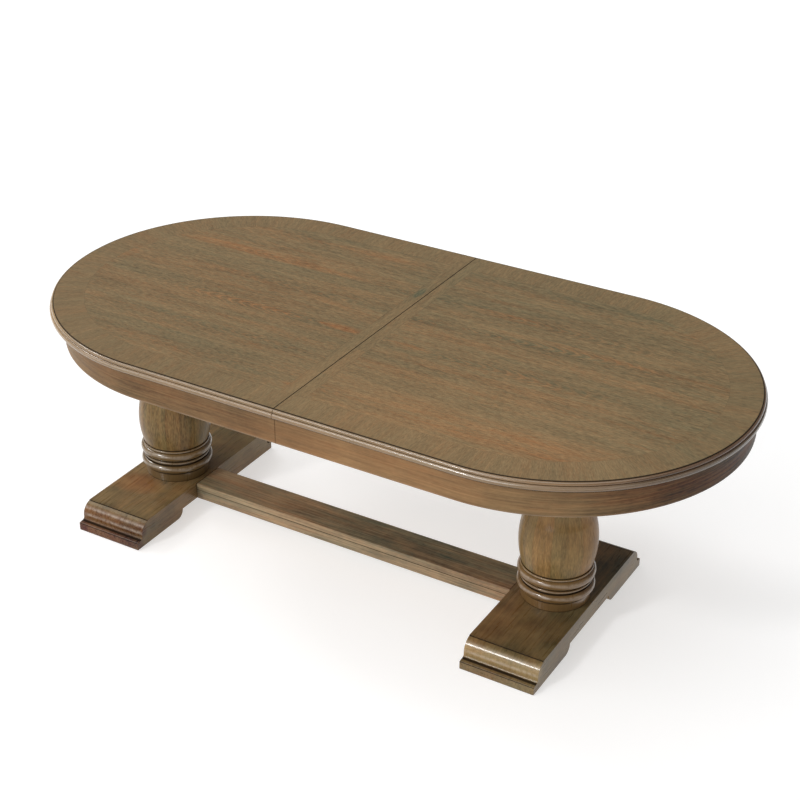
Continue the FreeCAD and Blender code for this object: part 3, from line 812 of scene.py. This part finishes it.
def turned(name, x, floor, outline, material, node):
    """Profile turned about an upright axis at x, standing on the height floor."""
    steps = sizes().turning_steps
    rows = outline.points[1:-1]
    darks = outline.glaze_and_shade()[1:-1]
    verts, grain, glaze_and_shade = [], [], []
    for (radius, height), dark in zip(rows, darks):
        for k in range(steps):
            angle = 2 * math.pi * k / steps
            out, side = radius * MM * math.cos(angle), radius * MM * math.sin(angle)
            verts.append((x + out, side, floor + height * MM))
            # the way round is folded so that it meets itself at the back
            folded = abs((k / steps - BACK_OF_TURN) % 1.0 - 0.5) * 2
            grain.append((height * MM + x, folded * math.pi * GRAIN_RADIUS + x, radius * MM * 0.3))
            glaze_and_shade.append(dark)
    return piece(name, verts, sleeve(len(rows), steps), material, "base", [node], "base_wood", grain,
                 glaze_and_shade, sharp=50.0)


# Sled feet and stretcher
def foot_outline(length, bottom):
    """Side view in (distance from the middle, height) in millimetres, run round from the front floor."""
    half = length / 2
    flat = half - FOOT_END

    def end(sign):
        draw = Outline((sign * half, bottom))
        # creases keep glazing and painted shade at the plinth's top, the ledge and the top of the ogee
        draw.line(sign * half, 24.9, 2.5).crease(2.4, 1.5)
        draw.line(sign * (half - 1.6), 26.5, 1.0)
        draw.line(sign * (flat + 39.0), 28.0, 2.0).crease(7.5, 1.3)
        draw.arc(sign * (flat + 31.0), 36.0, -2.3 * sign, 1.2)
        draw.line(sign * (flat + 31.0), 43.0, 2.0)
        draw.arc(sign * flat, 78.8, 8.5 * sign, 1.5).crease(2.8, 1.6)
        draw.line(sign * flat, FOOT_HEIGHT, 1.0)
        # crests: rubbed wear with a painted highlight on the ogee and the ledge's edge
        draw.rubbed_and_highlit_crest(sign * (flat + 30.5), 48.0, 9.0).rubbed_and_highlit_crest(sign * (flat + 22.0), 68.0, 9.0)
        draw.rubbed_and_highlit_crest(sign * (half - 1.6), 26.5, 1.8)
        return draw
    front, back = end(-1), end(1)
    draw = Outline(front.points[0])
    draw.points = list(front.points)
    draw.line(flat, FOOT_HEIGHT, 24.0)
    draw.points = draw.points[:-1] + back.points[::-1]
    inner = half - PAD_LENGTH
    arch_top = bottom + ARCH_HEIGHT
    draw.line(inner, bottom, 40.0)
    draw.arc(inner - ARCH_HEIGHT, arch_top, -7.6, 3.0)
    draw.line(-inner + ARCH_HEIGHT, arch_top, 40.0)
    draw.arc(-inner, bottom, -7.6, 3.0)
    draw.line(-half, bottom, 40.0)
    draw.points.pop()
    draw.creases = front.creases + back.creases
    return draw


def sled_foot(name, low, high, outline, material, node):
    """Side view run across the foot between low and high, its two faces rounded by a bevel."""
    steps = max(4, round((high - low) / FOOT_STEP))
    dark_row = outline.glaze_and_shade()
    count = len(outline.points)
    verts, grain, glaze_and_shade = [], [], []
    for i in range(steps + 1):
        across = low + (high - low) * i / steps
        for (u, h), dark in zip(outline.points, dark_row):
            verts.append((across, u * MM, h * MM))
            grain.append((u * MM, across, h * MM))
            glaze_and_shade.append(dark)
    return piece(name, verts, sleeve(steps + 1, count), material, "base", [node], "base_wood", grain,
                 glaze_and_shade, sharp=38.0, arris=sizes().arris, ends_only=count)


def paint(names, material):
    """Gives CAD nodes whose shape is right a better material."""
    for name in names:
        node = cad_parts[name]
        for place in node.material_slots:
            place.material = material


# Operators
class TABLE_OT_top_panels(bpy.types.Operator):
    """Veneers both halves of the top"""
    bl_idname = "table.top_panels"
    bl_label = "Veneered top"

    def execute(self, context):
        paint(["left_top_panel", "right_top_panel"], veneer())
        return {"FINISHED"}


class TABLE_OT_edge_mouldings(bpy.types.Operator):
    """Runs the double-beaded moulding round each half of the top"""
    bl_idname = "table.edge_mouldings"
    bl_label = "Edge mouldings"

    def execute(self, context):
        wood = plain_wood("edge_moulding_wood", colours().edge, MOULDING_PATCHES, 0.27, 0.45, sheen=0.45,
                          mottled=0.2)
        for name, side in SIDES.items():
            stations = half_path(side, ROUND_CENTRE, sizes().bend_steps, ("front", "end", "back"))
            run_section(name + "_beaded_edge", stations, moulding_outline(), FLAT_HALF_WIDTH, wood,
                        name + "_top", name + "_edge_moulding", side)
        return {"FINISHED"}


class TABLE_OT_aprons(bpy.types.Operator):
    """Runs the front, back and round end aprons under each half"""
    bl_idname = "table.aprons"
    bl_label = "Aprons"

    def execute(self, context):
        wood = plain_wood("apron_wood", colours().edge, APRON_PATCHES, 0.48, sheen=0.15, mottled=0.45)
        for name, side in SIDES.items():
            low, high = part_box(name + "_end_apron")
            radius = (high[1] - low[1]) / 2
            centre = (high[0] if side > 0 else -low[0]) - radius
            outline = apron_outline((TOP - high[2]) / MM, (TOP - low[2]) / MM)
            for part in ("front", "end", "back"):
                stations = half_path(side, centre, sizes().bend_steps, (part,))
                run_section(f"{name}_{part}_skirt", stations, outline, radius, wood, name + "_top",
                            f"{name}_{part}_apron", side, sharp=60.0)
        return {"FINISHED"}


class TABLE_OT_columns(bpy.types.Operator):
    """Turns both columns with their rings, beads and swelling"""
    bl_idname = "table.columns"
    bl_label = "Turned columns"

    def execute(self, context):
        wood = stave_wood("turned_column_wood", colours().column, COLUMN_PATCHES)
        for name in SIDES:
            low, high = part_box(name + "_column")
            outline = column_outline((high[2] - low[2]) / MM)
            turned(name + "_turned_column", (low[0] + high[0]) / 2, low[2], outline, wood, name + "_column")
        return {"FINISHED"}


class TABLE_OT_feet(bpy.types.Operator):
    """Shapes the sled feet with their ogee ends and arched undersides"""
    bl_idname = "table.feet"
    bl_label = "Sled feet"

    def execute(self, context):
        wood = plain_wood("foot_wood", colours().foot, FOOT_PATCHES, 0.30, 0.20, 0.95, sheen=0.22,
                          mottled=1.4)
        for name in SIDES:
            low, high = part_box(name + "_foot")
            outline = foot_outline((high[1] - low[1]) / MM, low[2] / MM)
            sled_foot(name + "_sled_foot", low[0], high[0], outline, wood, name + "_foot")
        return {"FINISHED"}


class TABLE_OT_stretcher(bpy.types.Operator):
    """Makes the flat stretcher between the feet"""
    bl_idname = "table.stretcher"
    bl_label = "Stretcher"

    def execute(self, context):
        wood = plain_wood("stretcher_wood", colours().stretcher, STRETCHER_PATCHES, 0.38, 0.06, 1.5,
                          sheen=0.30, mottled=0.7)
        low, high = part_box("stretcher")
        left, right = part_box("left_foot")[1][0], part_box("right_foot")[0][0]
        half, bottom, top = high[1], low[2], high[2]
        joint = top - (top - bottom) * BOARD_SHARE
        # height and glaze up one side, where a dark line marks the board's joint
        rise = [(bottom, 0.0), (joint - JOINT_LINE, 0.0), (joint, 0.9), (joint + JOINT_LINE, 0.0)]
        rise.append((top, 0.0))
        ring = [(-half, *rise[0])] + [(half, *spot) for spot in rise]
        ring += [(-half, *spot) for spot in reversed(rise[1:])]
        steps = range(1, STRETCHER_STEPS)
        rows = [left, left + 2 * JOINT_LINE] + [left + (right - left) * k / STRETCHER_STEPS for k in steps]
        rows += [right - 2 * JOINT_LINE, right]
        verts = [(x, y, z) for x in rows for y, z, _ in ring]
        # the ends against the feet are painted dark: painted shade in the joint
        glaze_and_shade = [1.0 if x in (left, right) else dark for x in rows for _, _, dark in ring]
        faces = sleeve(len(rows), len(ring), turned_over=True)
        piece("flat_stretcher", verts, faces, wood, "base", ["stretcher"], "base_wood", glaze_and_shade=glaze_and_shade,
              arris=STRETCHER_ARRIS)
        return {"FINISHED"}


class TABLE_OT_hidden_wood(bpy.types.Operator):
    """Waxes the slides, bearers, rails and blocks under the top"""
    bl_idname = "table.hidden_wood"
    bl_label = "Slides and hidden wood"

    def execute(self, context):
        lengthwise = bare_wood("waxed_wood_along", "x")
        crosswise = bare_wood("waxed_wood_across", "y")
        upright = bare_wood("waxed_wood_upright", "z")
        paint(["front_fixed_slide", "back_fixed_slide", "seam_tongues"], lengthwise)
        for name in SIDES:
            along = ("front_slide", "back_slide", "glue_blocks", "stop_keys")
            paint([f"{name}_{part}" for part in along], lengthwise)
            paint([f"{name}_{part}" for part in ("bearer", "cross_rail")], crosswise)
        paint(["column_keys"], upright)
        return {"FINISHED"}


def screw_heads(name, spots, head, steel, body):
    """Countersunk heads with a cross in them, seen from below; spots lie on the face they are let into."""
    radius, proud = head
    verts, faces = [], []
    for x, y, z in spots:
        start = len(verts)
        for share, fall in HEAD_PROFILE:
            for k in range(HEAD_STEPS):
                turn = 2 * math.pi * k / HEAD_STEPS
                sunk = CROSS_FALL if share < CROSS_REACH and k % (HEAD_STEPS // 4) == 0 else fall
                reach = radius * share
                verts.append((x + reach * math.cos(turn), y + reach * math.sin(turn), z - proud * sunk))
        verts.append((x, y, z - proud * CROSS_FALL))
        for ring in range(len(HEAD_PROFILE) - 1):
            low = start + ring * HEAD_STEPS
            high = low + HEAD_STEPS
            for k in range(HEAD_STEPS):
                n = (k + 1) % HEAD_STEPS
                faces.append((low + n, low + k, high + k, high + n))
        hub = len(verts) - 1
        inner = hub - HEAD_STEPS
        faces += [(hub, inner + (k + 1) % HEAD_STEPS, inner + k) for k in range(HEAD_STEPS)]
    return piece(name, verts, faces, steel, body, [], "zinc_steel", sharp=40.0)


class TABLE_OT_screws(bpy.types.Operator):
    """Puts screws in the latch plates, the keepers and the bearers, and the column bolts under the feet"""
    bl_idname = "table.screws"
    bl_label = "Screws and bolts"

    def execute(self, context):
        steel = zinc_steel()
        for node, body in (("latch_plates", "left_top"), ("latch_keepers", "right_top")):
            low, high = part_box(node)
            under = high[2] - PLATE_THICKNESS
            spots = [(x, side * (high[1] - inset), under)
                     for x in (low[0] + PLATE_SCREW_INSET, high[0] - PLATE_SCREW_INSET)
                     for side in (-1, 1) for inset in (PLATE_SCREW_INSET, PLATE_SCREW_FAR_INSET)]
            screw_heads(node + "_screws", spots, PLATE_SCREW, steel, body)
        for name in SIDES:
            low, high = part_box(name + "_bearer")
            middle = (low[0] + high[0]) / 2
            spots = [(middle + shift * BEARER_SCREW_SPREAD, side * BEARER_SCREW_PLACE, low[2])
                     for side in (-1, 1) for shift in (-1, 1)]
            screw_heads(name + "_bearer_screws", spots, BEARER_SCREW, steel, "base")
            low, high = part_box(name + "_foot")
            middle = (low[0] + high[0]) / 2
            spots = [(middle, side * COLUMN_BOLT_PLACE, low[2] + ARCH_HEIGHT * MM) for side in (-1, 1)]
            screw_heads(name + "_column_bolts", spots, COLUMN_BOLT, steel, "base")
        return {"FINISHED"}


class TABLE_OT_fittings(bpy.types.Operator):
    """Finishes the latches, their plates, the keepers and the glides"""
    bl_idname = "table.fittings"
    bl_label = "Latches and glides"

    def execute(self, context):
        paint(["front_latch", "back_latch", "latch_plates", "latch_keepers"], zinc_steel())
        paint(["foot_glides"], nylon())
        return {"FINISHED"}


# Soft lights: name, bearing from +X and height in degrees, softness in degrees, strength
LIGHTS = (
    ("front_left_window", -125, 45, 35, 0.55),
    ("back_left_window", 165, 45, 35, 0.55),
    ("small_front_window", -116, 37, 7, 0.85),
    ("small_back_window", 178, 42, 10, 0.35),
    ("low_front_light", -95, 18, 30, 0.80),
    ("low_left_light", -145, 18, 30, 0.30),
    ("ceiling_light", -120, 85, 60, 0.85),
)

# The pale surroundings: how far the floor reaches, and how much floor and world glow
FLOOR_REACH = 200.0
FLOOR_GLOW = 0.55
WORLD_GLOW = 0.19

# The photograph's camera in metres, millimetres of lens and sensor, and degrees of roll
CAMERA_PLACE = (2.101, -3.571, 2.8409)
CAMERA_AIM = (0.0285, 0.0, 0.5553)
CAMERA_LENS = 74.74
CAMERA_SENSOR = 36
CAMERA_ROLL = 0.56
CAMERA_FAR_LIMIT = 500


def add_floor(scene):
    """A pale, faintly glowing floor that belongs to no piece."""
    graph = Graph("pale_floor")
    dust = graph.noise(graph.place(), scale=3.0, detail=4.0)
    tone = colours().floor
    graph.finish(graph.blend(dust.ramp(0.3, 0.7), tone, shaded(tone, 0.985)),
                 dust.ramp(0.3, 0.7, 0.85, 0.95))
    graph.shader.inputs["Emission Color"].default_value = (1, 1, 1, 1)
    graph.shader.inputs["Emission Strength"].default_value = FLOOR_GLOW
    mesh = bpy.data.meshes.new("studio_floor")
    corners = [(-1, -1), (1, -1), (1, 1), (-1, 1)]
    mesh.from_pydata([(x * FLOOR_REACH, y * FLOOR_REACH, 0) for x, y in corners], [], [(0, 1, 2, 3)])
    mesh.materials.append(graph.material)
    floor = bpy.data.objects.new("studio_floor", mesh)
    scene.collection.objects.link(floor)


def add_world(scene):
    world = bpy.data.worlds.new("studio")
    world.use_nodes = True
    background = world.node_tree.nodes["Background"]
    background.inputs[0].default_value = (1, 1, 1, 1)
    background.inputs[1].default_value = WORLD_GLOW
    scene.world = world


def add_lights(scene):
    """Large soft lights; each shines from its bearing down to the table."""
    for name, bearing, height, softness, strength in LIGHTS:
        sun = bpy.data.lights.new(name, "SUN")
        sun.energy = strength
        sun.angle = math.radians(softness)
        lamp = bpy.data.objects.new(name, sun)
        scene.collection.objects.link(lamp)
        turn, rise = math.radians(bearing), math.radians(height)
        way = Vector((-math.cos(turn) * math.cos(rise), -math.sin(turn) * math.cos(rise), -math.sin(rise)))
        lamp.rotation_euler = way.to_track_quat("-Z", "Y").to_euler()


def level_then_rolled(place, aim, roll):
    """Turn of a camera at place that looks at aim, rolled by a few tenths of a degree."""
    way = (aim - place).normalized()
    right = way.cross(Vector((0, 0, 1))).normalized()
    up = right.cross(way)
    angle = math.radians(roll)
    across = right * math.cos(angle) + up * math.sin(angle)
    upward = up * math.cos(angle) - right * math.sin(angle)
    return Matrix((across, upward, -way)).transposed().to_euler()


def add_camera(scene):
    lens = bpy.data.cameras.new("camera")
    lens.sensor_width = CAMERA_SENSOR
    lens.lens = CAMERA_LENS
    lens.clip_end = CAMERA_FAR_LIMIT
    camera = bpy.data.objects.new("camera", lens)
    scene.collection.objects.link(camera)
    place, aim = Vector(CAMERA_PLACE), Vector(CAMERA_AIM)
    camera.location = place
    camera.rotation_euler = level_then_rolled(place, aim, CAMERA_ROLL)
    scene.camera = camera


class TABLE_OT_stage(bpy.types.Operator):
    """Sets the pale floor, the studio light and the camera"""
    bl_idname = "table.stage"
    bl_label = "Stage"

    def execute(self, context):
        scene = context.scene
        add_floor(scene)
        add_world(scene)
        add_lights(scene)
        add_camera(scene)
        scene.view_settings.view_transform = "Standard"
        return {"FINISHED"}


class TABLE_PT_panel(bpy.types.Panel):
    """Lists the table's pieces"""
    bl_idname = "TABLE_PT_panel"
    bl_label = "Dining table"
    bl_space_type = "VIEW_3D"
    bl_region_type = "UI"
    bl_category = "Dining Table"

    def draw(self, context):
        for group in (context.scene.table_sizes, context.scene.table_colours):
            for name in group.bl_rna.properties.keys():
                if name not in ("rna_type", "name"):
                    self.layout.prop(group, name)
        for step in STEPS:
            self.layout.operator(step.bl_idname)


STEPS = (TABLE_OT_top_panels, TABLE_OT_edge_mouldings, TABLE_OT_aprons, TABLE_OT_columns, TABLE_OT_feet,
         TABLE_OT_stretcher, TABLE_OT_hidden_wood, TABLE_OT_fittings, TABLE_OT_screws, TABLE_OT_stage)
CLASSES = (TableSizes, TableColours) + STEPS + (TABLE_PT_panel,)


def register():
    for each in CLASSES:
        bpy.utils.register_class(each)
    bpy.types.Scene.table_sizes = PointerProperty(type=TableSizes)
    bpy.types.Scene.table_colours = PointerProperty(type=TableColours)


def unregister():
    del bpy.types.Scene.table_sizes
    del bpy.types.Scene.table_colours
    for each in reversed(CLASSES):
        bpy.utils.unregister_class(each)


def main():
    register()
    for step in STEPS:
        getattr(bpy.ops.table, step.bl_idname.split(".")[1])()


if __name__ == "__main__":
    main()
